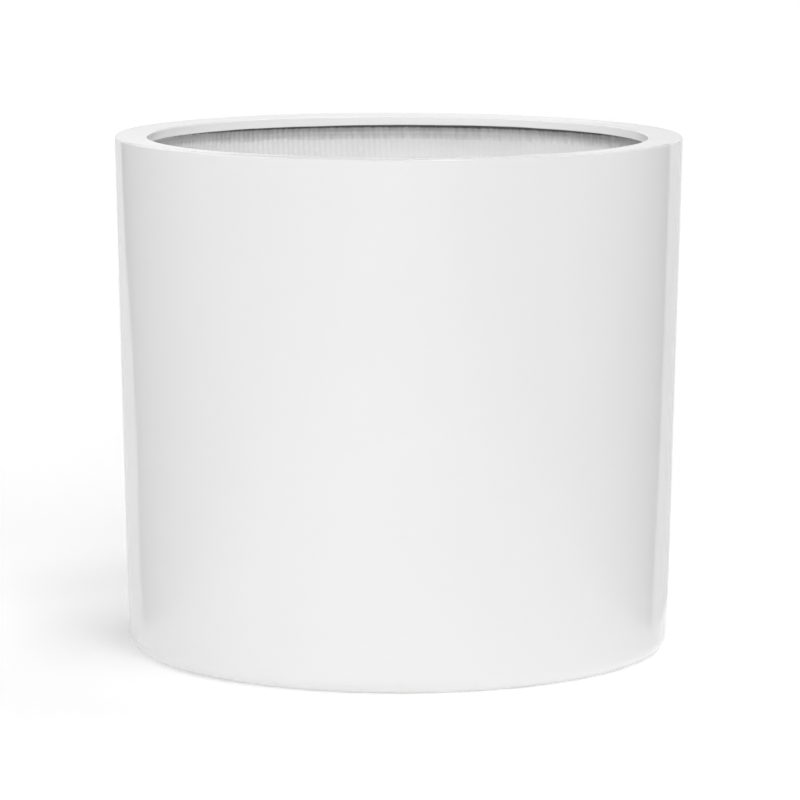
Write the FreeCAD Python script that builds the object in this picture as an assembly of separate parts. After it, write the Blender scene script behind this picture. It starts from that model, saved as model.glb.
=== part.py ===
import FreeCAD, Part
import math
import os

# Round floor cachepot in hand-laid glass-reinforced resin, millimetres.
# Frame: +Z up, origin at the centre of the base on the standing plane,
# -Y is the front.

# ---------------------------------------------------------------- dimensions
HEIGHT = 391.0          # standing plane to the outer top edge of the rim
R_TOP = 215.0           # outer radius where the wall line meets the rim's top
R_BASE = 206.6          # outer radius where the wall line meets the floor
CORNER_R = 12.3         # outer rounding between wall and base

SHELL_T = 2.8           # white resin shell, square to the wall
BASE_T = 2.8            # shell in the middle of the base
RECESS = 3.0            # the middle of the base stands clear of the floor
RECESS_R = 168.0        # start of the slope down to the standing ring
INNER_CORNER_R = 9.0    # shell, inside, between wall and base

RIM_T = 7.6             # flat inward rim, at the wall
RIM_DROP = 1.1          # the rim's top leans in by this much
RIM_IN_R = 189.8        # upright free edge of the rim
RIM_IN_ROUND = 0.9      # upper rounding of the free edge
RIM_LOW_ROUND = 0.8     # lower rounding of the free edge
RIM_OUT_ROUND = 1.6     # outer top edge

CLOTH_T = 1.4           # woven glass ply on the inside of wall and base
WALL_CLOTH_Z0 = 17.8    # lower edge of the wall ply
FLOOR_CLOTH_R = 194.0   # edge of the floor ply

TAPE_T = 1.0            # bonding tapes
CORNER_TAPE_R = 164.0   # inner edge of the base tape on the floor
CORNER_TAPE_Z = 46.0    # upper edge of the base tape on the wall
CORNER_TAPE_FILLET = 14.0
RIM_TAPE_R = 197.0      # inner edge of the rim tape under the rim
RIM_TAPE_Z = 370.0      # lower edge of the rim tape on the wall
RIM_TAPE_FILLET = 5.0

HOLE_R = 12.5           # drain hole
PLUG_STEM_R = 12.3      # stopper in the drain hole
PLUG_Z0 = 1.2           # lower end of the stopper
PLUG_GAP = 0.1          # under the stopper's collar
PLUG_COLLAR_R = 20.0
PLUG_COLLAR_T = 3.0
PLUG_TAB_W = 18.0       # grip fin on top
PLUG_TAB_T = 4.6
PLUG_TAB_H = 10.0

# ------------------------------------------------------------------- helpers
SLOPE = (R_TOP - R_BASE) / HEIGHT
COS = math.cos(math.atan(SLOPE))
FLOOR_Z = RECESS + BASE_T
RIM_Z = HEIGHT - RIM_T


def wall_r(z, depth=0.0):
    """Radius of the wall line at height z, `depth` mm in from the outer face."""
    return R_BASE + SLOPE * z - depth / COS


def outline(points):
    """Closed wire in the XZ half plane from (r, z, rounding) corners."""
    n = len(points)
    starts, ends, arcs = [], [], []
    for i in range(n):
        px, pz, rad = points[i]
        p = FreeCAD.Vector(px, 0, pz)
        a = FreeCAD.Vector(points[i - 1][0], 0, points[i - 1][1])
        b = FreeCAD.Vector(points[(i + 1) % n][0], 0, points[(i + 1) % n][1])
        if rad <= 0:
            starts.append(p)
            ends.append(p)
            arcs.append(None)
            continue
        u = (a - p).normalize()
        v = (b - p).normalize()
        half = u.getAngle(v) / 2.0
        cut = rad / math.tan(half)
        mid = (u + v).normalize()
        centre = p + mid * (rad / math.sin(half))
        t0 = p + u * cut
        t1 = p + v * cut
        starts.append(t0)
        ends.append(t1)
        arcs.append(Part.Arc(t0, centre - mid * rad, t1).toShape())
    edges = []
    for i in range(n):
        if arcs[i] is not None:
            edges.append(arcs[i])
        j = (i + 1) % n
        if (starts[j] - ends[i]).Length > 1e-6:
            edges.append(Part.LineSegment(ends[i], starts[j]).toShape())
    return Part.Wire(Part.__sortEdges__(edges))


def turned(points):
    """Solid of revolution about Z from an outline."""
    face = Part.Face(outline(points))
    solid = face.revolve(FreeCAD.Vector(0, 0, 0), FreeCAD.Vector(0, 0, 1), 360)
    if solid.ShapeType != "Solid":
        solid = solid.Solids[0]
    if solid.Volume < 0:
        solid = solid.reversed()
    return solid


# --------------------------------------------------------------------- shell
# White shell: tapered wall, rounded foot, standing ring and recessed base
# with the drain hole.
outer_shell = turned([
    (HOLE_R, RECESS, 0),
    (RECESS_R, RECESS, 5.0),
    (RECESS_R + 2.2 * RECESS, 0, 3.0),
    (wall_r(0), 0, CORNER_R),
    (wall_r(RIM_Z), RIM_Z, 0),
    (wall_r(RIM_Z, SHELL_T), RIM_Z, 0),
    (wall_r(FLOOR_Z, SHELL_T), FLOOR_Z, INNER_CORNER_R),
    (HOLE_R, FLOOR_Z, 0),
])

# ----------------------------------------------------------------------- rim
# Flat inward rim, seated on the wall's top edge and flush with its outside. Its
# top leans slightly towards the mouth.
rim_flange = turned([
    (RIM_IN_R, RIM_Z, RIM_LOW_ROUND),
    (wall_r(RIM_Z), RIM_Z, 0),
    (wall_r(HEIGHT), HEIGHT, RIM_OUT_ROUND),
    (RIM_IN_R, HEIGHT - RIM_DROP, RIM_IN_ROUND),
])

# ------------------------------------------------------------ glass cloth plies
IN = SHELL_T + CLOTH_T          # depth of the cloth's inner face

wall_lining = turned([
    (wall_r(WALL_CLOTH_Z0, SHELL_T), WALL_CLOTH_Z0, 0),
    (wall_r(RIM_Z, SHELL_T), RIM_Z, 0),
    (wall_r(RIM_Z, IN), RIM_Z, 0),
    (wall_r(WALL_CLOTH_Z0, IN), WALL_CLOTH_Z0, 0),
])

floor_lining = turned([
    (HOLE_R, FLOOR_Z, 0),
    (FLOOR_CLOTH_R, FLOOR_Z, 0),
    (FLOOR_CLOTH_R, FLOOR_Z + CLOTH_T, 0),
    (HOLE_R, FLOOR_Z + CLOTH_T, 0),
])

# ------------------------------------------------------------- bonding tapes
# Base tape: over the edges of both plies and down onto the shell's corner.
TAPE_Z = FLOOR_Z + CLOTH_T + TAPE_T
corner_tape = turned([
    (CORNER_TAPE_R, FLOOR_Z + CLOTH_T, 0),
    (FLOOR_CLOTH_R, FLOOR_Z + CLOTH_T, 0),
    (FLOOR_CLOTH_R, FLOOR_Z, 0),
    (wall_r(FLOOR_Z, SHELL_T), FLOOR_Z, INNER_CORNER_R),
    (wall_r(WALL_CLOTH_Z0, SHELL_T), WALL_CLOTH_Z0, 0),
    (wall_r(WALL_CLOTH_Z0, IN), WALL_CLOTH_Z0, 0),
    (wall_r(CORNER_TAPE_Z, IN), CORNER_TAPE_Z, 0),
    (wall_r(CORNER_TAPE_Z - 0.7, IN + TAPE_T), CORNER_TAPE_Z - 0.7, 0),
    (wall_r(TAPE_Z, IN + TAPE_T), TAPE_Z, CORNER_TAPE_FILLET),
    (CORNER_TAPE_R + 0.7, TAPE_Z, 0),
])

# Rim tape: in the corner between the wall ply and the underside of the rim.
rim_tape = turned([
    (RIM_TAPE_R, RIM_Z, 0),
    (wall_r(RIM_Z, IN), RIM_Z, 0),
    (wall_r(RIM_TAPE_Z, IN), RIM_TAPE_Z, 0),
    (wall_r(RIM_TAPE_Z + 0.7, IN + TAPE_T), RIM_TAPE_Z + 0.7, 0),
    (wall_r(RIM_Z - TAPE_T, IN + TAPE_T), RIM_Z - TAPE_T, RIM_TAPE_FILLET),
    (RIM_TAPE_R + 0.7, RIM_Z - TAPE_T, 0),
])

# --------------------------------------------------------------- drain stopper
# Soft stopper: chamfered stem in the hole, collar on the floor ply and an
# upright grip fin.
SEAT_Z = FLOOR_Z + CLOTH_T + PLUG_GAP
COLLAR_TOP = SEAT_Z + PLUG_COLLAR_T
stopper = turned([
    (0, PLUG_Z0, 0),
    (PLUG_STEM_R - 1.4, PLUG_Z0, 0.6),
    (PLUG_STEM_R, PLUG_Z0 + 2.2, 0.8),
    (PLUG_STEM_R, SEAT_Z, 0),
    (PLUG_COLLAR_R, SEAT_Z, 0.5),
    (PLUG_COLLAR_R, COLLAR_TOP - 1.2, 0.9),
    (PLUG_COLLAR_R - 3.0, COLLAR_TOP, 1.5),
    (0, COLLAR_TOP + 0.4, 0),
])
fin = Part.makeBox(
    PLUG_TAB_W, PLUG_TAB_T, PLUG_TAB_H + 1.0,
    FreeCAD.Vector(-PLUG_TAB_W / 2, -PLUG_TAB_T / 2, COLLAR_TOP - 0.6),
)
upright = [
    e for e in fin.Edges
    if abs(e.Vertexes[0].Point.z - e.Vertexes[1].Point.z) > PLUG_TAB_H
]
fin = fin.makeFillet(2.0, upright)
top = fin.BoundBox.ZMax
crown = [
    e for e in fin.Edges
    if all(abs(v.Point.z - top) < 1e-6 for v in e.Vertexes)
]
fin = fin.makeFillet(1.5, crown)
drain_plug = stopper.fuse(fin).removeSplitter()
if drain_plug.ShapeType != "Solid":
    drain_plug = drain_plug.Solids[0]

# ---------------------------------------------------------------------- write
PIECES = {
    "outer_shell": outer_shell,
    "rim_flange": rim_flange,
    "wall_lining": wall_lining,
    "floor_lining": floor_lining,
    "corner_tape": corner_tape,
    "rim_tape": rim_tape,
    "drain_plug": drain_plug,
}
os.makedirs("parts", exist_ok=True)
for name, shape in PIECES.items():
    shape.exportStep("parts/%s.step" % name)
    box = shape.BoundBox
    print("%-13s %s valid=%s volume=%.1f cm3  x %.2f..%.2f  z %.2f..%.2f" % (
        name, shape.ShapeType, shape.isValid(), shape.Volume / 1000.0,
        box.XMin, box.XMax, box.ZMin, box.ZMax))
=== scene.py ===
import math

import bmesh
import bpy
import numpy as np
from mathutils import Matrix, Vector


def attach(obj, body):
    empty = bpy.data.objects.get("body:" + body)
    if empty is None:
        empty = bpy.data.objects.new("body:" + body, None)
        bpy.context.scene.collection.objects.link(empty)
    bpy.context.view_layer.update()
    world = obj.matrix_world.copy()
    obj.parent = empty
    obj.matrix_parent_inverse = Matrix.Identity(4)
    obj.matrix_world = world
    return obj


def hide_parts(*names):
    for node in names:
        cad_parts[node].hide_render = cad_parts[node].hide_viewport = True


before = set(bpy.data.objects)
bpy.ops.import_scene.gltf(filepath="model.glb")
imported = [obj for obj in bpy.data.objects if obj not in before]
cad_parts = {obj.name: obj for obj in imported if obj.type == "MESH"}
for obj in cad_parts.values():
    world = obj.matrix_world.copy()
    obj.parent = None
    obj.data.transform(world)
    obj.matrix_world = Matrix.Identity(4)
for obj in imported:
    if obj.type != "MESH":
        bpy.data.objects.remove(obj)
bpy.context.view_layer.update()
scene = bpy.context.scene

MM = 0.001

# ------------------------------------------------------------------ dimensions
# Millimetres, the same as the construction model.
HEIGHT, R_TOP, R_BASE, CORNER_R = 391.0, 215.0, 206.6, 12.3
SHELL_T, BASE_T, RECESS, RECESS_R, INNER_CORNER_R = 2.8, 2.8, 3.0, 168.0, 9.0
RIM_T, RIM_DROP, RIM_IN_R = 7.6, 1.1, 189.8
RIM_IN_ROUND, RIM_LOW_ROUND, RIM_OUT_ROUND = 0.9, 0.8, 1.6
CLOTH_T, WALL_CLOTH_Z0, FLOOR_CLOTH_R = 1.4, 17.8, 194.0
TAPE_T = 1.0
CORNER_TAPE_R, CORNER_TAPE_Z, CORNER_TAPE_FILLET = 164.0, 46.0, 14.0
RIM_TAPE_R, RIM_TAPE_Z, RIM_TAPE_FILLET = 197.0, 370.0, 5.0
HOLE_R = 12.5

SLOPE = (R_TOP - R_BASE) / HEIGHT
COS = math.cos(math.atan(SLOPE))
FLOOR_Z = RECESS + BASE_T
RIM_Z = HEIGHT - RIM_T
CLOTH_IN = SHELL_T + CLOTH_T
SEGMENTS = 480

# Woven glass: threads around the wall (an even number) and their spacing.
TOWS = 294
PITCH = 4.5


def wall_r(z, depth=0.0):
    return R_BASE + SLOPE * z - depth / COS


# ---------------------------------------------------------------- mesh helpers
def rounded(corners, closed=True):
    """Corner list (r, z, rounding, arc steps) to a polyline with arcs."""
    pts = []
    n = len(corners)
    for i, c in enumerate(corners):
        p = np.array(c[:2], float)
        rad = c[2] if len(c) > 2 else 0.0
        steps = c[3] if len(c) > 3 else 8
        if rad <= 0 or (not closed and i in (0, n - 1)):
            pts.append(p)
            continue
        a = np.array(corners[i - 1][:2], float) - p
        b = np.array(corners[(i + 1) % n][:2], float) - p
        a /= np.linalg.norm(a)
        b /= np.linalg.norm(b)
        half = math.acos(max(-1.0, min(1.0, float(a @ b)))) / 2
        mid = (a + b) / np.linalg.norm(a + b)
        centre = p + mid * rad / math.sin(half)
        t0 = p + a * rad / math.tan(half) - centre
        t1 = p + b * rad / math.tan(half) - centre
        a0 = math.atan2(t0[1], t0[0])
        turn = math.atan2(t1[1], t1[0]) - a0
        turn = (turn + math.pi) % (2 * math.pi) - math.pi
        for k in range(steps + 1):
            w = a0 + turn * k / steps
            pts.append(centre + rad * np.array([math.cos(w), math.sin(w)]))
    return pts


def spread(pts, longest):
    """Adds points so that no step of the closed polyline is over `longest`."""
    out = []
    for i, p in enumerate(pts):
        q = pts[(i + 1) % len(pts)]
        out.append(p)
        n = int(math.ceil(np.linalg.norm(q - p) / longest))
        for k in range(1, n):
            out.append(p + (q - p) * k / n)
    return out


def hold(pts, gap):
    """Adds a point close to both ends of each long step, so that roundings keep
    their shading to themselves."""
    out = []
    for i, p in enumerate(pts):
        q = pts[(i + 1) % len(pts)]
        out.append(p)
        long = np.linalg.norm(q - p)
        if long > 4 * gap:
            out.append(p + (q - p) * gap / long)
            out.append(q - (q - p) * gap / long)
    return out


def new_object(name, verts, faces, sharp=35.0):
    mesh = bpy.data.meshes.new(name)
    mesh.from_pydata([tuple(v) for v in verts], [], faces)
    bm = bmesh.new()
    bm.from_mesh(mesh)
    bmesh.ops.remove_doubles(bm, verts=bm.verts, dist=1e-7)
    bmesh.ops.recalc_face_normals(bm, faces=bm.faces)
    bm.to_mesh(mesh)
    bm.free()
    mesh.polygons.foreach_set("use_smooth", [True] * len(mesh.polygons))
    mesh.set_sharp_from_angle(angle=math.radians(sharp))
    mesh.update()
    obj = bpy.data.objects.new(name, mesh)
    scene.collection.objects.link(obj)
    return obj


def lathe(name, profile, segments=SEGMENTS, shape=None, sharp=35.0):
    """Turns a closed (r, z) profile in mm about Z. shape(theta, r, z) may move
    the points, as arrays of r and z for one profile point at all angles."""
    theta = np.arange(segments) * 2 * math.pi / segments
    rings = []
    for r, z in profile:
        rr, zz = np.full(segments, float(r)), np.full(segments, float(z))
        if shape:
            rr, zz = shape(theta, rr, zz)
        rings.append(np.stack([rr * np.cos(theta), rr * np.sin(theta), zz], 1) * MM)
    verts = np.concatenate(rings)
    faces = []
    n = len(profile)
    for j in range(n):
        k = (j + 1) % n
        if profile[j][0] == 0 and profile[k][0] == 0:
            continue
        for i in range(segments):
            i2 = (i + 1) % segments
            f = [j * segments + i, j * segments + i2, k * segments + i2, k * segments + i]
            if profile[j][0] == 0:
                f = [f[0], f[2], f[3]]
            elif profile[k][0] == 0:
                f = [f[0], f[1], f[2]]
            faces.append(f)
    return new_object(name, verts, faces, sharp)


def place(obj, body, slot, *nodes):
    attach(obj, body)
    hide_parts(*nodes)
    return obj


# ------------------------------------------------------------- hand-made uneven
def wall_wave(theta, z):
    """Slow unevenness of a hand-finished wall, mm along the radius."""
    return (
        0.075 * np.sin(2 * theta + 0.7)
        + 0.055 * np.sin(3 * theta - 1.1 + z / 95.0)
        + 0.045 * np.sin(5 * theta + 2.0 - z / 70.0)
        + 0.03 * np.sin(9 * theta + 0.4 + z / 41.0)
        + 0.03 * np.sin(z / 33.0 + 4 * theta)
    )


def shell_shape(theta, r, z):
    fade = np.clip((z - 2.0) / 30.0, 0, 1) * (r > 150)
    return r + wall_wave(theta, z) * fade, z


# height of the free edge's lower side round the mouth, mm: deeper on the left
LIP_AT = [0, 28, 45, 68, 82, 92, 105, 130, 165, 200, 235, 270, 315, 360]
LIP_LOW = [-0.5, -0.4, -0.08, -0.12, -0.35, -0.6, -0.78, -0.85, -0.88, -0.7, -0.3, -0.1, -0.3, -0.5]


def rim_shape(theta, r, z):
    outer = np.clip((r - 204.0) / 8.0, 0, 1)
    inner = 1 - np.clip((r - 190.0) / 14.0, 0, 1)
    # the mouth was trimmed by hand: a little off centre and not quite round
    dr = wall_wave(theta, z) * outer + inner * (
        -1.0 * np.cos(theta) + 0.16 * np.sin(3 * theta + 1.0) + 0.12 * np.sin(7 * theta - 0.6)
        + 0.07 * np.sin(17 * theta + 2.2) + 0.04 * np.sin(31 * theta + 0.3)
    )
    low = inner * np.clip((HEIGHT - RIM_DROP - 1.5 - z) / 4.0, 0, 1)
    dz = low * (
        np.interp(np.degrees(theta), LIP_AT, LIP_LOW)
        + 0.07 * np.sin(11 * theta + 1.9) + 0.05 * np.sin(26 * theta - 0.8)
    )
    top = np.clip((z - HEIGHT + RIM_DROP + 1.5) / 1.0, 0, 1)
    dz = dz + top * (0.06 * np.sin(3 * theta + 0.9) + 0.04 * np.sin(8 * theta - 2.0))
    return r + dr, z + dz


# ------------------------------------------------------------------ white shell
profile = rounded([
    (HOLE_R, RECESS, 0.5, 3),
    (RECESS_R, RECESS, 5.0, 8),
    (RECESS_R + 2.2 * RECESS, 0, 3.0, 8),
    (wall_r(0), 0, CORNER_R, 22),
    (wall_r(RIM_Z), RIM_Z),
    (wall_r(RIM_Z, SHELL_T), RIM_Z),
    (wall_r(FLOOR_Z, SHELL_T), FLOOR_Z, INNER_CORNER_R, 6),
    (HOLE_R, FLOOR_Z),
])
dense = []
profile = hold(profile, 0.25)
for i, p in enumerate(profile):
    q = profile[(i + 1) % len(profile)]
    dense.append(p)
    step = np.linalg.norm(q - p)
    outside = p[0] > 205.5 and q[0] > 205.5 and p[0] < q[0]
    n = int(math.ceil(step / (8.0 if outside else 60.0)))
    for k in range(1, n):
        dense.append(p + (q - p) * k / n)
shell = lathe("white_shell", [(float(a), float(b)) for a, b in dense], shape=shell_shape)
place(shell, "pot", "white_gloss", "outer_shell")

# -------------------------------------------------------------------------- rim
profile = rounded([
    (RIM_IN_R, RIM_Z, RIM_LOW_ROUND, 6),
    (wall_r(RIM_Z), RIM_Z),
    (wall_r(HEIGHT), HEIGHT, RIM_OUT_ROUND, 10),
    (RIM_IN_R, HEIGHT - RIM_DROP, RIM_IN_ROUND, 7),
])
profile = [(float(a), float(b)) for a, b in spread(hold(profile, 0.12), 4.0)]
rim = lathe("inward_rim", profile, shape=rim_shape, sharp=50.0)
place(rim, "pot", "white_gloss", "rim_flange")


# ------------------------------------------------------------------ woven lining
def slew_v(u):
    """Rows of the hand-laid cloth rise and fall round the wall (thread units)."""
    a = 2 * np.pi * u / TOWS
    return 0.9 * np.sin(2 * a + 0.6) + 0.3 * np.sin(5 * a + 2.1)


def slew_u(v):
    return 0.5 * np.sin(2 * np.pi * v / 60 + 0.3) + 0.25 * np.sin(2 * np.pi * v / 23 + 1.3)


LAP_AT = TOWS * (114.0 / 360.0)     # thread where the cloth's end laps over
LAP_WIDE = 10.0


def lap_lift(u, v):
    """Extra thickness, mm, where the cloth's two ends overlap."""
    start = LAP_AT + 0.25 * np.sin(v / 3.1) + 0.10 * (v - 80)
    end = start + LAP_WIDE + 0.3 * np.sin(v / 4.3 + 1.0)
    du = (u - start + TOWS / 2) % TOWS - TOWS / 2
    de = (u - end + TOWS / 2) % TOWS - TOWS / 2
    return 0.75 * np.clip(du / 0.7, 0, 1) * np.clip(-de / 6.0, 0, 1)


def wall_cloth():
    nu = TOWS * 2
    u = np.arange(nu) / 2.0
    v_rows = np.arange(int(46.0 / PITCH) * 2 - 1, int(372.0 / PITCH) * 2 + 2) / 2.0
    verts = []

    def ring(theta, r, z):
        verts.append(np.stack([r * np.cos(theta), r * np.sin(theta), z], 1) * MM)

    plain = u * 2 * np.pi / TOWS
    zero = np.zeros(nu)
    # upper edge, woven rows downward, lower edge, then up the hidden back face
    ring(plain, zero + wall_r(RIM_Z, CLOTH_IN), zero + RIM_Z)
    for v in v_rows[::-1]:
        theta = (u - slew_u(v)) * 2 * np.pi / TOWS
        z = (v - slew_v(u)) * PITCH
        rib_u = np.where((np.arange(nu) % 2) == 1, 1.0, -1.0)
        rib_v = 1.0 if int(round(v * 2)) % 2 == 1 else -1.0
        lift = 0.14 * rib_u + 0.09 * rib_v + 0.06 * rib_u * rib_v
        # more resin over the threads on the right
        lift = lift * np.interp(np.cos(theta), [-0.2, 0.35], [0.85, 0.45])
        slow = 0.25 * np.sin(3 * theta + z / 60.0) + 0.18 * np.sin(8 * theta - z / 37.0 + 1.0)
        ring(theta, wall_r(z, CLOTH_IN) - lift - lap_lift(u, v) + slow * 0.5, z)
    ring(plain, zero + wall_r(WALL_CLOTH_Z0, CLOTH_IN), zero + WALL_CLOTH_Z0)
    ring(plain, zero + wall_r(WALL_CLOTH_Z0, SHELL_T + 0.15), zero + WALL_CLOTH_Z0)
    ring(plain, zero + wall_r(RIM_Z, SHELL_T + 0.15), zero + RIM_Z)
    n = len(verts)
    faces = []
    for j in range(n):
        k = (j + 1) % n
        for i in range(nu):
            i2 = (i + 1) % nu
            faces.append([j * nu + i, j * nu + i2, k * nu + i2, k * nu + i])
    return new_object("wall_cloth", np.concatenate(verts), faces, 60.0)


cloth = wall_cloth()
place(cloth, "pot", "glass_cloth", "wall_lining")


def floor_cloth():
    """Cloth disc with square weave; its edge lies under the base tape."""
    half = PITCH / 2
    n = int(190.0 / half)
    index, verts = {}, []
    for a in range(-n, n + 1):
        for b in range(-n, n + 1):
            x = a * half + 1.2 * math.sin(b * half / 70.0 + 0.4)
            y = b * half + 1.4 * math.sin(a * half / 55.0 + 1.7)
            r = math.hypot(x, y)
            if r > 190.0 or r < HOLE_R + 0.2:
                continue
            ra, rb = (1.0 if a % 2 else -1.0), (1.0 if b % 2 else -1.0)
            lift = 0.10 * ra + 0.10 * rb + 0.10 * ra * rb
            lift *= min(1.0, max(0.0, (r - 15.0) / 8.0)) * min(1.0, max(0.0, (188.0 - r) / 20.0))
            slow = 0.22 * math.sin(x / 37.0 + 0.5) * math.sin(y / 43.0 + 1.1)
            slow *= min(1.0, max(0.0, (r - 22.0) / 20.0))
            index[a, b] = len(verts)
            verts.append([x, y, FLOOR_Z + CLOTH_T + lift * 0.8 + slow - 0.05])
    faces = []
    for a in range(-n, n):
        for b in range(-n, n):
            q = [(a, b), (a + 1, b), (a + 1, b + 1), (a, b + 1)]
            if all(k in index for k in q):
                faces.append([index[k] for k in q])
    bm = bmesh.new()
    bv = [bm.verts.new(v) for v in verts]
    bm.verts.ensure_lookup_table()
    for f in faces:
        bm.faces.new([bv[i] for i in f])
    bmesh.ops.delete(bm, geom=[v for v in bm.verts if not v.link_faces], context="VERTS")
    # pull the two free edges onto true circles
    for e in [e for e in bm.edges if len(e.link_faces) == 1]:
        for v in e.verts:
            r = math.hypot(v.co.x, v.co.y)
            to = HOLE_R + 0.05 if r < 60 else 191.0
            if abs(r - to) > 1e-6:
                v.co.x *= to / r
                v.co.y *= to / r
                v.co.z = FLOOR_Z + CLOTH_T - (0.05 if r < 60 else 0.1)
    # underside and edges
    top = list(bm.faces)
    made = bmesh.ops.duplicate(bm, geom=top + list({v for f in top for v in f.verts}) + list({e for f in top for e in f.edges}))
    twin = made["vert_map"]
    low = {v for v in made["geom"] if isinstance(v, bmesh.types.BMVert)}
    pairs = [(v, twin[v]) for v in list(twin.keys()) if v not in low]
    for up, down in pairs:
        down.co.z = FLOOR_Z + 0.12
    lower = dict((up, down) for up, down in pairs)
    for e in [e for e in bm.edges if len(e.link_faces) == 1 and e.verts[0] in lower and e.verts[1] in lower]:
        a, b = e.verts
        bm.faces.new([a, b, lower[b], lower[a]])
    bmesh.ops.recalc_face_normals(bm, faces=bm.faces)
    mesh = bpy.data.meshes.new("floor_cloth")
    for v in bm.verts:
        v.co *= MM
    bm.to_mesh(mesh)
    bm.free()
    mesh.polygons.foreach_set("use_smooth", [True] * len(mesh.polygons))
    mesh.set_sharp_from_angle(angle=math.radians(60))
    obj = bpy.data.objects.new("floor_cloth", mesh)
    scene.collection.objects.link(obj)
    return obj


floor_ply = floor_cloth()
place(floor_ply, "pot", "glass_cloth", "floor_lining")


# ----------------------------------------------------------------- bonding tapes
def ragged(theta, seed):
    """Cut edge of a hand-laid tape, mm either way."""
    return (
        0.5 * np.sin(4 * theta + seed) + 0.35 * np.sin(9 * theta + 2.1 * seed)
        + 0.28 * np.sin(23 * theta - seed) + 0.18 * np.sin(57 * theta + 3.0 * seed)
        + 0.12 * np.sin(101 * theta + seed * seed)
    )


TAPE_Z = FLOOR_Z + CLOTH_T + TAPE_T


def corner_shape(theta, r, z):
    on_floor = np.clip((CORNER_TAPE_R + 8.0 - r) / 8.0, 0, 1) * (r < 180)
    on_wall = np.clip((z - CORNER_TAPE_Z + 8.0) / 8.0, 0, 1)
    r2 = r + on_floor * ragged(theta, 1.3) * 1.4
    z2 = z + on_wall * ragged(theta, 2.4) * 1.4
    r2 = r2 + (z2 - z) * SLOPE
    bulge = ((r > CORNER_TAPE_R + 3) & (z > FLOOR_Z + CLOTH_T + 0.5) & (z < CORNER_TAPE_Z - 3))
    uneven = 0.20 * np.sin(6 * theta + 0.4) + 0.16 * np.sin(13 * theta + z / 9.0) + 0.10 * np.sin(29 * theta + r / 7.0)
    steep = np.clip((r - 188.0) / 12.0, 0, 1)
    return r2 - bulge * uneven * steep, z2 + bulge * uneven * (1 - steep)


profile = rounded([
    (CORNER_TAPE_R, FLOOR_Z + CLOTH_T - 0.3),
    (FLOOR_CLOTH_R - 3.0, FLOOR_Z + CLOTH_T - 0.3),
    (FLOOR_CLOTH_R - 1.0, FLOOR_Z + 0.15),
    (wall_r(FLOOR_Z, SHELL_T) - 0.15, FLOOR_Z + 0.15, INNER_CORNER_R, 6),
    (wall_r(WALL_CLOTH_Z0, SHELL_T + 0.15), WALL_CLOTH_Z0 - 0.2),
    (wall_r(WALL_CLOTH_Z0, CLOTH_IN - 0.2), WALL_CLOTH_Z0 - 0.1),
    (wall_r(CORNER_TAPE_Z, CLOTH_IN - 0.3), CORNER_TAPE_Z),
    (wall_r(CORNER_TAPE_Z - 0.6, CLOTH_IN + 0.55), CORNER_TAPE_Z - 0.4, 0.3, 3),
    (wall_r(CORNER_TAPE_Z - 3.0, CLOTH_IN + TAPE_T), CORNER_TAPE_Z - 3.0),
    (wall_r(TAPE_Z, CLOTH_IN + TAPE_T), TAPE_Z, CORNER_TAPE_FILLET, 16),
    (CORNER_TAPE_R + 3.0, TAPE_Z),
    (CORNER_TAPE_R + 0.4, TAPE_Z - 0.4, 0.3, 3),
])
profile = [(float(a), float(b)) for a, b in spread(profile, 3.5)]
base_tape = lathe("base_tape", profile, 720, corner_shape, 55.0)
place(base_tape, "pot", "glass_tape", "corner_tape")


def rim_tape_shape(theta, r, z):
    on_wall = np.clip((RIM_TAPE_Z + 5.0 - z) / 5.0, 0, 1)
    under = np.clip((RIM_TAPE_R + 5.0 - r) / 5.0, 0, 1)
    z2 = z + on_wall * ragged(theta, 0.7) * 0.45
    r2 = r + under * ragged(theta, 1.9) * 0.9 + (z2 - z) * SLOPE
    inside = (z < RIM_Z - 0.6) & (z > RIM_TAPE_Z + 1.0) & (r < wall_r(RIM_TAPE_Z, CLOTH_IN + 0.4))
    uneven = 0.16 * np.sin(7 * theta + 0.4) + 0.14 * np.sin(19 * theta + z / 4.0) + 0.10 * np.sin(43 * theta - z / 3.0)
    return r2 - inside * uneven, z2


profile = rounded([
    (RIM_TAPE_R, RIM_Z - 0.05),
    (wall_r(RIM_Z, CLOTH_IN - 0.3), RIM_Z - 0.05),
    (wall_r(RIM_TAPE_Z, CLOTH_IN - 0.3), RIM_TAPE_Z),
    (wall_r(RIM_TAPE_Z + 0.4, CLOTH_IN + 0.5), RIM_TAPE_Z + 0.4, 0.3, 3),
    (wall_r(RIM_TAPE_Z + 3.0, CLOTH_IN + TAPE_T), RIM_TAPE_Z + 3.0),
    (wall_r(RIM_Z - TAPE_T, CLOTH_IN + TAPE_T), RIM_Z - TAPE_T, RIM_TAPE_FILLET, 10),
    (RIM_TAPE_R + 2.5, RIM_Z - TAPE_T),
    (RIM_TAPE_R + 0.4, RIM_Z - 0.5, 0.2, 3),
])
profile = [(float(a), float(b)) for a, b in spread(profile, 2.5)]
rim_band = lathe("rim_band", profile, 720, rim_tape_shape, 55.0)
place(rim_band, "pot", "glass_tape", "rim_tape")


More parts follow.
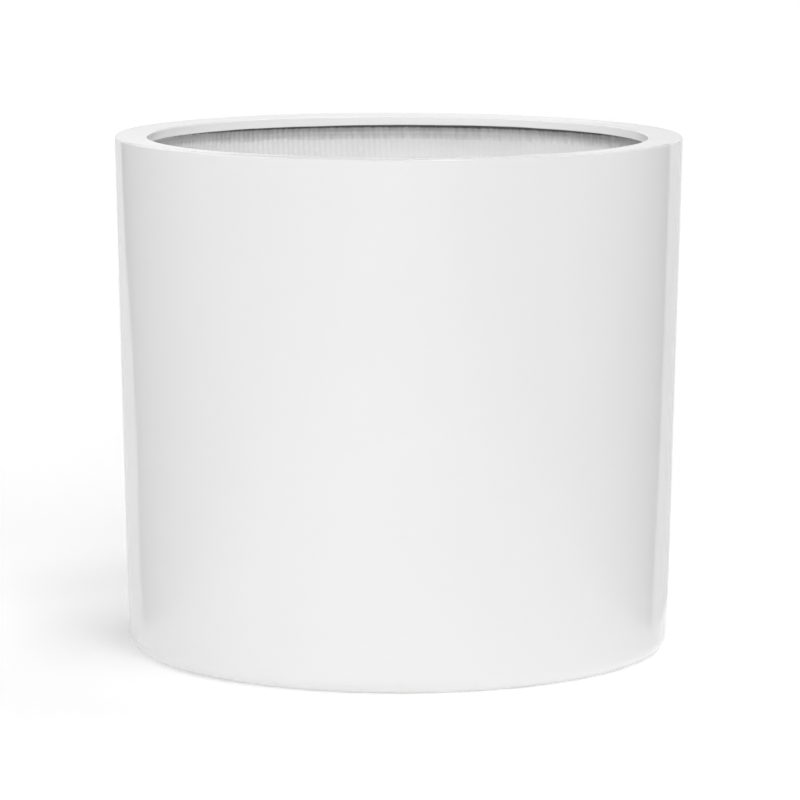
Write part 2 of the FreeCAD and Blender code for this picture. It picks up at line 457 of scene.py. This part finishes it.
# ------------------------------------------------------------------ drain stopper
def stopper():
    seat = FLOOR_Z + CLOTH_T + 0.1
    top = seat + 3.0
    body = lathe("stopper", [
        (0, 5.6), (5.5, 5.55), (7.2, 5.2), (7.9, 4.5), (8.2, 2.0), (8.5, 1.4), (9.1, 1.2),
        (10.2, 1.2), (10.8, 1.45), (11.6, 2.6), (12.0, 3.2), (12.05, 3.6), (12.3, 4.0),
        (12.35, 4.2), (12.3, 4.4), (12.05, 4.8), (12.05, 5.2), (12.3, 5.6), (12.35, 5.8),
        (12.3, 6.0), (12.05, 6.4), (12.05, seat - 0.3), (12.2, seat - 0.05), (12.6, seat),
        (19.2, seat), (19.75, seat + 0.2), (20.0, seat + 0.7), (20.0, top - 1.5),
        (19.8, top - 1.0), (19.3, top - 0.65), (17.2, top - 0.15), (16.4, top - 0.05),
        (16.0, top - 0.1), (15.7, top - 0.45), (15.2, top - 0.55), (14.7, top - 0.45),
        (14.4, top - 0.05), (14.0, top + 0.05), (8.0, top + 0.3), (0, top + 0.4),
    ], 128, None, 40.0)
    # grip fin: rounded-rectangle rings, ribbed on its two faces
    count = 64
    rings = []
    z0, z1 = top - 0.9, top + 10.0
    levels = list(np.linspace(0, 1, 41))
    for s in levels:
        z = z0 + (z1 - z0) * s
        up = z - top
        flare = 1.6 * math.exp(-max(0.0, up) / 0.9)
        w = 8.9 + flare + 0.35 * s
        t = 2.0 + flare * 0.8
        if 2.0 < up < 8.0:
            t += 0.28 * max(0.0, math.sin((up - 2.0) / 6.0 * 3 * math.pi)) ** 2 * 1.0
        close = max(0.0, (up - 8.4) / 1.6)
        if close > 0:
            cap = math.sqrt(max(0.0, 1 - min(1.0, close) ** 2))
            t = t * (0.25 + 0.75 * cap)
            w = w - 1.5 * (1 - cap)
        ring = []
        for i in range(count):
            a = 2 * math.pi * i / count
            ca, sa = math.cos(a), math.sin(a)
            e = 0.42
            ring.append((
                w * math.copysign(abs(ca) ** e, ca),
                t * math.copysign(abs(sa) ** e, sa),
                z,
            ))
        rings.append(ring)
    verts = [np.array(p) * MM for ring in rings for p in ring]
    faces = []
    for j in range(len(rings) - 1):
        for i in range(count):
            i2 = (i + 1) % count
            faces.append([j * count + i, j * count + i2, (j + 1) * count + i2, (j + 1) * count + i])
    faces.append(list(range(count))[::-1])
    faces.append([(len(rings) - 1) * count + i for i in range(count)])
    fin = new_object("stopper_fin", verts, faces, 50.0)
    join = body.modifiers.new("join", "BOOLEAN")
    join.operation, join.solver, join.object = "UNION", "EXACT", fin
    dg = bpy.context.evaluated_depsgraph_get()
    mesh = bpy.data.meshes.new_from_object(body.evaluated_get(dg))
    body.modifiers.clear()
    body.data = mesh
    mesh.name = "stopper"
    mesh.polygons.foreach_set("use_smooth", [True] * len(mesh.polygons))
    mesh.set_sharp_from_angle(angle=math.radians(40))
    bpy.data.objects.remove(fin)
    return body


plug = stopper()
place(plug, "stopper", "stopper_rubber", "drain_plug")


# --------------------------------------------------------------------- materials
class Graph:
    """A small builder for node materials."""

    def __init__(self, name):
        self.mat = bpy.data.materials.new(name)
        self.mat.use_nodes = True
        self.tree = self.mat.node_tree
        self.tree.nodes.clear()
        self.out = self.node("ShaderNodeOutputMaterial")
        self.bsdf = self.node("ShaderNodeBsdfPrincipled")
        self.tree.links.new(self.bsdf.outputs[0], self.out.inputs["Surface"])
        coords = self.node("ShaderNodeTexCoord")
        self.place = coords.outputs["Object"]

    def node(self, kind, **props):
        n = self.tree.nodes.new(kind)
        for k, v in props.items():
            setattr(n, k, v)
        return n

    def put(self, socket, value):
        if isinstance(value, bpy.types.NodeSocket):
            self.tree.links.new(value, socket)
        else:
            socket.default_value = value

    def math(self, op, a, b=None, c=None, clamp=False):
        n = self.node("ShaderNodeMath", operation=op, use_clamp=clamp)
        for s, v in zip(n.inputs, (a, b, c)):
            if v is not None:
                self.put(s, v)
        return n.outputs[0]

    def xyz(self, vector=None):
        n = self.node("ShaderNodeSeparateXYZ")
        self.put(n.inputs[0], vector or self.place)
        return n.outputs

    def vec(self, x, y, z):
        n = self.node("ShaderNodeCombineXYZ")
        for s, v in zip(n.inputs, (x, y, z)):
            self.put(s, v)
        return n.outputs[0]

    def noise(self, scale, detail=3.0, rough=0.5, vector=None, twist=0.0):
        n = self.node("ShaderNodeTexNoise")
        self.put(n.inputs["Vector"], vector or self.place)
        n.inputs["Scale"].default_value = scale
        n.inputs["Detail"].default_value = detail
        n.inputs["Roughness"].default_value = rough
        n.inputs["Distortion"].default_value = twist
        return n.outputs[0]

    def band(self, value, a, b, lo=0.0, hi=1.0, smooth=True):
        n = self.node("ShaderNodeMapRange", interpolation_type="SMOOTHSTEP" if smooth else "LINEAR")
        self.put(n.inputs["Value"], value)
        for k, v in (("From Min", a), ("From Max", b), ("To Min", lo), ("To Max", hi)):
            self.put(n.inputs[k], v)
        return n.outputs[0]

    def mix(self, fac, a, b, kind="MIX"):
        n = self.node("ShaderNodeMix", data_type="RGBA", blend_type=kind)
        self.put(n.inputs[0], fac)
        for s, v in ((n.inputs[6], a), (n.inputs[7], b)):
            self.put(s, (*v, 1.0) if isinstance(v, tuple) and len(v) == 3 else v)
        return n.outputs[2]

    def grey(self, value):
        n = self.node("ShaderNodeCombineColor")
        for s in n.inputs[:3]:
            self.put(s, value)
        return n.outputs[0]

    def bump(self, height, distance, strength=1.0, normal=None):
        n = self.node("ShaderNodeBump")
        n.inputs["Strength"].default_value = strength
        n.inputs["Distance"].default_value = distance
        self.put(n.inputs["Height"], height)
        if normal is not None:
            self.put(n.inputs["Normal"], normal)
        return n.outputs[0]

    def set(self, name, value):
        self.put(self.bsdf.inputs[name], value)


def white_gloss():
    """Polished white lacquer with faint orange peel, and scuffs on the standing ring."""
    g = Graph("white_gloss")
    x, y, z = g.xyz()
    cloud = g.noise(9.0, 3.0, 0.55)
    fine = g.noise(160.0, 2.0, 0.5)
    tone = g.math("MULTIPLY_ADD", cloud, 0.016, WHITE - 0.008)
    tone = g.math("MULTIPLY_ADD", fine, 0.006, g.math("SUBTRACT", tone, 0.003))
    # wear where the pot stands and is pushed about
    foot = g.band(z, 0.0035, 0.0002)
    rub = g.noise(70.0, 5.0, 0.65, twist=0.6)
    worn = g.math("MULTIPLY", foot, g.band(rub, 0.42, 0.62))
    colour = g.mix(g.math("MULTIPLY", worn, 0.45), g.grey(tone), (0.50, 0.49, 0.47))
    g.set("Base Color", colour)
    sheen = g.noise(14.0, 4.0, 0.6)
    rough = g.band(sheen, 0.35, 0.7, 0.055, 0.095, smooth=False)
    g.set("Roughness", g.math("MULTIPLY_ADD", worn, 0.4, rough))
    g.set("IOR", 1.5)
    peel = g.noise(330.0, 2.0, 0.45)
    slow = g.noise(38.0, 2.0, 0.4)
    first = g.bump(peel, 0.00002, 0.35)
    g.set("Normal", g.bump(slow, 0.0001, 0.25, first))
    return g.mat


def weave(g, u, v):
    """Plain weave from thread coordinates: (height, upright gap, level gap, over)
    sockets. over is 1 where the upright thread lies on top."""
    su = g.math("ABSOLUTE", g.math("SINE", g.math("MULTIPLY", u, math.pi)))
    sv = g.math("ABSOLUTE", g.math("SINE", g.math("MULTIPLY", v, math.pi)))
    over = g.math("MODULO", g.math("ADD", g.math("FLOOR", u), g.math("FLOOR", v)), 2.0)
    over = g.math("ABSOLUTE", over)
    up = g.math("MULTIPLY", g.math("POWER", su, 0.5), g.math("POWER", sv, 0.3))
    across = g.math("MULTIPLY", g.math("POWER", sv, 0.5), g.math("POWER", su, 0.3))
    pillow = g.math("ADD", g.math("MULTIPLY", up, over), g.math("MULTIPLY", across, g.math("SUBTRACT", 1.0, over)))
    high = g.math("MULTIPLY_ADD", g.math("POWER", su, 0.6), 0.75, g.math("MULTIPLY", pillow, 0.35))
    return high, g.band(su, 0.95, 0.0), g.band(sv, 0.6, 0.0), over


def glass_cloth(name, flat, base, pitch, shade, corner=False, low=False):
    """Bare woven glass wetted out with resin. flat: square weave on the floor, otherwise wrapped round the wall.
    corner: paints shade under the rim, and paints light in the bend under the rim and at the left end. low: turns onto
    the floor."""
    g = Graph(name)
    x, y, z = g.xyz()
    if flat:
        xm = g.math("SUBTRACT", x, g.math("MULTIPLY", g.math("SINE", g.math("MULTIPLY_ADD", y, 1 / 0.070, 0.4)), 0.0012))
        ym = g.math("SUBTRACT", y, g.math("MULTIPLY", g.math("SINE", g.math("MULTIPLY_ADD", x, 1 / 0.055, 1.7)), 0.0014))
        u = g.math("ADD", g.math("MULTIPLY", xm, 1000.0 / pitch), 400.0)
        v = g.math("ADD", g.math("MULTIPLY", ym, 1000.0 / pitch), 400.0)
        around, along = x, y
    else:
        angle = g.math("ARCTAN2", y, x)
        tows = TOWS if pitch == PITCH else 2 * round(math.pi * 209.0 / pitch)
        turn = g.math("MULTIPLY", angle, tows / (2 * math.pi))
        # up the wall, and outwards where the ply runs over the floor
        along = g.math("ADD", g.math("SUBTRACT", z, g.math("SQRT", g.math("MULTIPLY_ADD", x, x, g.math("MULTIPLY", y, y)))), 0.2066)
        rise = g.math("MULTIPLY", along if low else z, 1000.0 / pitch)
        k = TOWS / tows
        wave = g.math("ADD",
            g.math("MULTIPLY", g.math("SINE", g.math("MULTIPLY_ADD", angle, 2.0, 0.6)), 0.9 / k),
            g.math("MULTIPLY", g.math("SINE", g.math("MULTIPLY_ADD", angle, 5.0, 2.1)), 0.3 / k))
        v = g.math("ADD", rise, wave)
        sway = g.math("ADD",
            g.math("MULTIPLY", g.math("SINE", g.math("MULTIPLY_ADD", v, 2 * math.pi / 60, 0.3)), 0.5),
            g.math("MULTIPLY", g.math("SINE", g.math("MULTIPLY_ADD", v, 2 * math.pi / 23, 1.3)), 0.25))
        u = g.math("ADD", g.math("ADD", turn, sway), float(2 * tows))
        v = g.math("ADD", v, 400.0)
        around, along = g.math("MULTIPLY", angle, 0.21), along if low else z
    high, gap_u, gap_v, over = weave(g, u, v)
    # fibre streaks run along whichever thread is on top
    up_streak = g.noise(1.0, 2.0, 0.6, g.vec(g.math("MULTIPLY", around, 2600.0), g.math("MULTIPLY", along, 160.0), 0.0))
    flat_streak = g.noise(1.0, 2.0, 0.6, g.vec(g.math("MULTIPLY", around, 160.0), g.math("MULTIPLY", along, 2600.0), 3.0))
    streak = g.math("ADD", g.math("MULTIPLY", up_streak, over), g.math("MULTIPLY", flat_streak, g.math("SUBTRACT", 1.0, over)))
    wet = g.noise(26.0, 4.0, 0.6)           # resin-rich and dry patches
    cloud = g.noise(7.0, 3.0, 0.5)
    # drier, so with plainer ribs, on the left than on the right
    dry = g.band(g.math("MULTIPLY_ADD", g.noise(30.0, 3.0, 0.6), 0.10, x), 0.08, -0.05, 0.2, 0.8)
    gap_u = g.math("MULTIPLY", gap_u, dry)
    gap_v = g.math("MULTIPLY", gap_v, dry)
    tone = g.math("MULTIPLY_ADD", g.math("MULTIPLY", over, dry), shade * 0.14, base - shade * 0.07)
    tone = g.math("MULTIPLY_ADD", streak, shade * 1.2, g.math("SUBTRACT", tone, shade * 0.6))
    tone = g.math("SUBTRACT", tone, g.math("MULTIPLY", gap_u, shade * 0.8))
    tone = g.math("SUBTRACT", tone, g.math("MULTIPLY", gap_v, shade * 0.14))
    tone = g.math("MULTIPLY_ADD", wet, shade * 0.9, g.math("SUBTRACT", tone, shade * 0.45))
    tone = g.math("MULTIPLY_ADD", cloud, shade * 0.9, g.math("SUBTRACT", tone, shade * 0.45), clamp=True)
    if corner:
        # random tone from resin runs, and painted shade deep in the corner under the rim: much darker towards the lip's
        # underside, along a ragged line
        runs_and_shade_edge = g.noise(1.0, 3.0, 0.6, g.vec(g.math("MULTIPLY", around, 230.0), g.math("MULTIPLY", along, 60.0), 7.0))
        edge = g.math("MULTIPLY_ADD", runs_and_shade_edge, 0.0016, g.math("SUBTRACT", z, 0.0008))
        tone = g.math("MULTIPLY", tone, g.math("MULTIPLY_ADD", runs_and_shade_edge, -0.5, 1.25))
        # painted shade: darkens to 0.18 of the tone in the corner just under the lip
        tone = g.math("MULTIPLY", tone, g.band(edge, 0.3787, 0.3804, 0.97, 0.18))
        # painted light: lighter in the bend, whose surface turns down away from the light, than on the wall below it,
        # and more even on the right
        tone = g.math("MULTIPLY", tone, g.band(
            z, 0.3739, 0.3773, g.band(x, 0.02, 0.14, 0.90, 1.04), g.band(x, 0.09, 0.15, 1.25, 1.06)))
        # painted light: lighter at the left end, which gets less light, than at the right one
        tone = g.math("MULTIPLY", tone, g.math("MULTIPLY", g.band(x, -0.165, -0.12, 1.32, 1.0), g.band(x, 0.13, 0.18, 1.0, 0.95)))
        # feathered into the cloth at its lower edge
        tone = g.math("MULTIPLY", tone, g.band(z, 0.3690, 0.3745, 1.26, 1.0))
        tone = g.math("MINIMUM", tone, 0.92)
    g.set("Base Color", g.grey(tone))
    g.set("Roughness", g.band(wet, 0.35, 0.68, 0.56, 0.32, smooth=False))
    g.set("IOR", 1.5)
    height = g.math("ADD", high, g.math("MULTIPLY", streak, 0.35))
    height = g.math("ADD", height, g.math("MULTIPLY", wet, 0.6))
    g.set("Normal", g.bump(height, 0.00022 if pitch == PITCH else 0.00012, 0.8))
    return g.mat


def stopper_rubber():
    g = Graph("stopper_rubber")
    x, y, z = g.xyz()
    dust = g.noise(420.0, 4.0, 0.6)
    cloud = g.noise(60.0, 3.0, 0.5)
    tone = g.math("MULTIPLY_ADD", g.band(dust, 0.5, 0.75), 0.035, 0.022)
    tone = g.math("MULTIPLY_ADD", cloud, 0.02, tone)
    g.set("Base Color", g.grey(tone))
    g.set("Roughness", g.band(cloud, 0.3, 0.7, 0.48, 0.66, smooth=False))
    g.set("IOR", 1.52)
    grain = g.noise(1500.0, 2.0, 0.5)
    g.set("Normal", g.bump(grain, 0.00008, 0.4))
    return g.mat


WHITE = 0.75
lacquer = white_gloss()
cloth_wall_mat = glass_cloth("glass_cloth_wall", False, 0.805, PITCH, 0.10)
cloth_floor_mat = glass_cloth("glass_cloth_floor", True, 0.80, PITCH, 0.10)
# the rim tape carries painted shade under the rim and painted light in its bend and at its left end
rim_tape_mat = glass_cloth("glass_tape_rim", False, 0.71, PITCH, 0.14, corner=True)
base_tape_mat = glass_cloth("glass_tape_base", False, 0.69, 2.6, 0.10, low=True)
rubber = stopper_rubber()


def dress(obj, mat):
    obj.data.materials.clear()
    obj.data.materials.append(mat)


dress(shell, lacquer)
dress(rim, lacquer)
dress(cloth, cloth_wall_mat)
dress(floor_ply, cloth_floor_mat)
dress(base_tape, base_tape_mat)
dress(rim_band, rim_tape_mat)
dress(plug, rubber)

# ------------------------------------------------------------------------- stage
floor_mesh = bpy.data.meshes.new("studio_floor")
S = 40.0
floor_mesh.from_pydata([(-S, -S, 0), (S, -S, 0), (S, S, 0), (-S, S, 0)], [], [(0, 1, 2, 3)])
studio_floor = bpy.data.objects.new("studio_floor", floor_mesh)
scene.collection.objects.link(studio_floor)
pale = Graph("studio_floor")
pale.set("Base Color", (0.90, 0.90, 0.90, 1.0))
pale.set("Roughness", 0.9)
pale.set("Specular IOR Level", 0.0)
pale.set("Emission Color", (1.0, 1.0, 1.0, 1.0))
# it glows a little, but not under the pot
floor_x, floor_y, floor_z = pale.xyz()
away = pale.math("SQRT", pale.math("MULTIPLY_ADD", floor_x, floor_x, pale.math("MULTIPLY", floor_y, floor_y)))
pale.set("Emission Strength", pale.band(away, 0.14, 0.18, 0.0, 0.33))
dress(studio_floor, pale.mat)


def card(name, corners, level, front=None, right=None):
    """A studio flag, lying on the floor unless corners have a height, seen only in
    reflections. With front, it brightens to that level towards the camera side. With
    right, it goes over to that level from left to right."""
    mesh = bpy.data.meshes.new(name)
    mesh.from_pydata([(*c, 0.002)[:3] for c in corners], [], [tuple(range(len(corners)))])
    obj = bpy.data.objects.new(name, mesh)
    scene.collection.objects.link(obj)
    mat = bpy.data.materials.new(name)
    mat.use_nodes = True
    t = mat.node_tree
    t.nodes.clear()
    out = t.nodes.new("ShaderNodeOutputMaterial")
    glow = t.nodes.new("ShaderNodeEmission")
    glow.inputs["Color"].default_value = (1.0, 1.0, 1.0, 1.0)
    glow.inputs["Strength"].default_value = level
    t.links.new(glow.outputs[0], out.inputs["Surface"])
    if right is not None:
        where = t.nodes.new("ShaderNodeTexCoord")
        split = t.nodes.new("ShaderNodeSeparateXYZ")
        t.links.new(where.outputs["Object"], split.inputs[0])
        over = t.nodes.new("ShaderNodeMapRange")
        over.interpolation_type = "SMOOTHSTEP"
        t.links.new(split.outputs["X"], over.inputs["Value"])
        for k, v in (("From Min", -1.1), ("From Max", 1.1), ("To Min", level), ("To Max", right)):
            over.inputs[k].default_value = v
        t.links.new(over.outputs[0], glow.inputs["Strength"])
    if front is not None:
        where = t.nodes.new("ShaderNodeTexCoord")
        split = t.nodes.new("ShaderNodeSeparateXYZ")
        t.links.new(where.outputs["Object"], split.inputs[0])

        def maths(op, *values):
            n = t.nodes.new("ShaderNodeMath")
            n.operation = op
            for socket, v in zip(n.inputs, values):
                if isinstance(v, bpy.types.NodeSocket):
                    t.links.new(v, socket)
                else:
                    socket.default_value = v
            return n.outputs[0]

        def fade(value, a, b):
            n = t.nodes.new("ShaderNodeMapRange")
            n.interpolation_type = "SMOOTHSTEP"
            t.links.new(value, n.inputs["Value"])
            n.inputs["From Min"].default_value = a
            n.inputs["From Max"].default_value = b
            return n.outputs[0]

        aside = maths("ABSOLUTE", split.outputs["X"])
        angle = maths("ARCTAN2", aside, split.outputs["Y"])
        shade = maths("MULTIPLY_ADD", fade(angle, 2.1, 1.1), level - front, front - 1.0)
        # it starts sharply beside and behind the pot, and gradually in front of it
        full = maths("MULTIPLY_ADD", fade(angle, 1.5, 2.3), 1.1, 0.30)
        begin = maths("DIVIDE", maths("SUBTRACT", aside, 0.225), maths("SUBTRACT", full, 0.225))
        t.links.new(maths("MULTIPLY_ADD", shade, fade(begin, 0.0, 1.0), 1.0), glow.inputs["Strength"])
    dress(obj, mat)
    obj.visible_camera = False
    obj.visible_diffuse = False
    obj.visible_shadow = False
    obj.visible_transmission = False
    return obj


EDGE_L = [
    (-0.26, 0.0), (-0.348, 0.10), (-0.40, 0.18), (-0.85, 0.73), (-1.25, 1.39),
    (-1.62, 2.42), (-2.27, 3.94), (-3.2, 6.2),
]
EDGE_R = [
    (0.26, 0.0), (0.348, 0.10), (0.50, 0.28), (0.84, 0.74), (1.29, 1.36),
    (1.95, 2.19), (2.93, 3.50), (5.2, 6.2),
]
card("flag_left", [(-0.222, -3.0), (-0.222, -0.02)] + EDGE_L + [(-8.0, 6.2), (-8.0, -3.0)], 0.325, 0.6)
card("flag_right", [(0.222, -3.0), (0.222, -0.02)] + EDGE_R + [(8.0, 6.2), (8.0, -3.0)], 0.26, 0.6)
card("flag_back", EDGE_L[::-1] + [(-0.26, 0.12), (-0.2, 0.24), (0.2, 0.24), (0.26, 0.12)] + EDGE_R, 0.85)
for name, z0, z1, level, right in (
    ("backdrop_low", 0.0, 0.8, 0.85, 0.82),
    ("backdrop_mid", 0.8, 1.55, 0.90, 0.80),
    ("backdrop_high", 1.55, 3.2, 0.92, 1.04),
):
    card(name, [(-14.0, 9.0, z0), (14.0, 9.0, z0), (14.0, 9.0, z1), (-14.0, 9.0, z1)], level, right=right)


def sun(name, azimuth, elevation, angle, strength):
    """Azimuth 0 is over the camera, positive to the right."""
    data = bpy.data.lights.new(name, "SUN")
    data.energy = strength
    data.angle = math.radians(angle)
    obj = bpy.data.objects.new(name, data)
    scene.collection.objects.link(obj)
    a, e = math.radians(azimuth), math.radians(elevation)
    towards = Vector((math.sin(a) * math.cos(e), -math.cos(a) * math.cos(e), math.sin(e)))
    obj.rotation_mode = "QUATERNION"
    obj.rotation_quaternion = towards.to_track_quat("Z", "Y")
    obj.location = towards * 5.0
    return obj


def strip(name, where, aim, wide, high, power):
    """Strip lamp, seen by neither camera nor reflections."""
    data = bpy.data.lights.new(name, "AREA")
    data.shape, data.size, data.size_y, data.energy = "RECTANGLE", wide, high, power
    obj = bpy.data.objects.new(name, data)
    scene.collection.objects.link(obj)
    obj.location = where
    obj.rotation_mode = "QUATERNION"
    obj.rotation_quaternion = (Vector(where) - Vector(aim)).to_track_quat("Z", "Y")
    obj.visible_camera = False
    obj.visible_glossy = False
    return obj


# a ring of large soft lamps round the pot
sun("front", 0.0, 14.0, 20.0, 0.82).visible_glossy = False
sun("front_right", 22.0, 32.0, 24.0, 0.35)
sun("low_right", 38.0, 25.0, 36.0, 0.25)
sun("near_right", 14.0, 48.0, 18.0, 0.21)
sun("right", 28.0, 62.0, 16.0, 0.30)
sun("mid_right", 52.0, 63.0, 22.0, 0.20)
sun("high_right", 82.0, 79.0, 10.0, 0.15)
sun("high_back_right", 130.0, 60.0, 30.0, 0.56)
sun("back_left", -130.0, 28.0, 36.0, 0.36)
# and a strip over the near side of the mouth, level, that looks across to the far wall
strip("mouth", (0.0, -0.185, 0.52), (0.0, 1.0, 0.52), 0.34, 0.05, 0.57)
# and two fills that leave the floor alone: for the left, and for the white outside away
# from the camera


def only_on(lamp, *objects):
    group = bpy.data.collections.new(lamp.name)
    for obj in objects:
        group.objects.link(obj)
    lamp.light_linking.receiver_collection = group


only_on(sun("left", -75.0, 25.0, 36.0, 0.83), shell, rim, cloth, floor_ply, base_tape, rim_band, plug)
fill = sun("back_fill", 180.0, 15.0, 40.0, 0.9)
fill.visible_glossy = False
only_on(fill, shell, rim)

world = bpy.data.worlds.new("studio")
scene.world = world
world.use_nodes = True
wt = world.node_tree
wt.nodes.clear()
wo = wt.nodes.new("ShaderNodeOutputWorld")
wb = wt.nodes.new("ShaderNodeBackground")
wb.inputs["Color"].default_value = (1.0, 1.0, 1.0, 1.0)
wb.inputs["Strength"].default_value = 0.15
wt.links.new(wb.outputs[0], wo.inputs["Surface"])

# ------------------------------------------------------------------------ camera
CAM_D, CAM_H, PITCH_DOWN, FOCAL_PX, YAW, ROLL = 3.36178, 0.66678, 0.1416, 4439.5, 0.0004, 0.0022
cam_data = bpy.data.cameras.new("camera")
cam_data.sensor_width = 36.0
cam_data.lens = 36.0 * FOCAL_PX / 800.0
cam_data.clip_end = 200.0
cam = bpy.data.objects.new("camera", cam_data)
scene.collection.objects.link(cam)
ahead = Vector((math.sin(YAW) * math.cos(PITCH_DOWN), math.cos(YAW) * math.cos(PITCH_DOWN), -math.sin(PITCH_DOWN)))
right0 = Vector((math.cos(YAW), -math.sin(YAW), 0.0))
up0 = right0.cross(ahead)
right = right0 * math.cos(ROLL) + up0 * math.sin(ROLL)
up = up0 * math.cos(ROLL) - right0 * math.sin(ROLL)
cam.matrix_world = Matrix((
    (right.x, up.x, -ahead.x, 0.0),
    (right.y, up.y, -ahead.y, -CAM_D),
    (right.z, up.z, -ahead.z, CAM_H),
    (0.0, 0.0, 0.0, 1.0),
))
scene.camera = cam

scene.view_settings.view_transform = "Standard"
scene.view_settings.look = "None"
scene.view_settings.exposure = 0.0
scene.view_settings.gamma = 1.0
